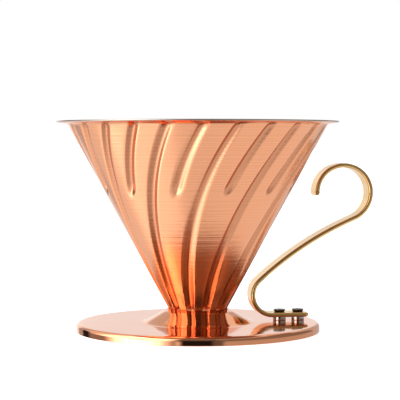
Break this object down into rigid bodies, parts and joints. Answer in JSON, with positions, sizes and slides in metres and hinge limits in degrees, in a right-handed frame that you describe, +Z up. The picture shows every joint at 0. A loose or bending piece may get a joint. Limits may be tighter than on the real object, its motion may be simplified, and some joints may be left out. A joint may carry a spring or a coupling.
{
  "type": "pour over dripper",
  "caption": "Conical metal pour-over coffee dripper: fluted funnel with a turned-out rim, round raised base plate and a bent strap handle bolted on spacers.",
  "frame": {"origin": "on the cone's axis at the lower end of the outlet, level with the surface the base plate stands on", "axes": "+Z up along the cone's axis, +X towards the handle"},
  "size_m": [0.1314, 0.116, 0.0864],
  "materials": {
    "copper_satin": "satin turned copper sheet, fine circular tooling lines",
    "copper_polished": "mirror-polished copper sheet",
    "brass_strap": "smooth brass strap, soft sheen",
    "dark_steel": "dark nickelled screw heads",
    "bright_steel": "bright turned steel"
  },
  "bodies": {
    "root": {"funnel": "copper_satin", "base_plate": "copper_polished", "handle": "brass_strap", "inner_handle_screw": "dark_steel", "inner_spacer": "bright_steel", "inner_washer": "bright_steel", "inner_nut": "bright_steel", "outer_handle_screw": "dark_steel", "outer_spacer": "bright_steel", "outer_washer": "bright_steel", "outer_nut": "bright_steel"}
  },
  "joints": []
}
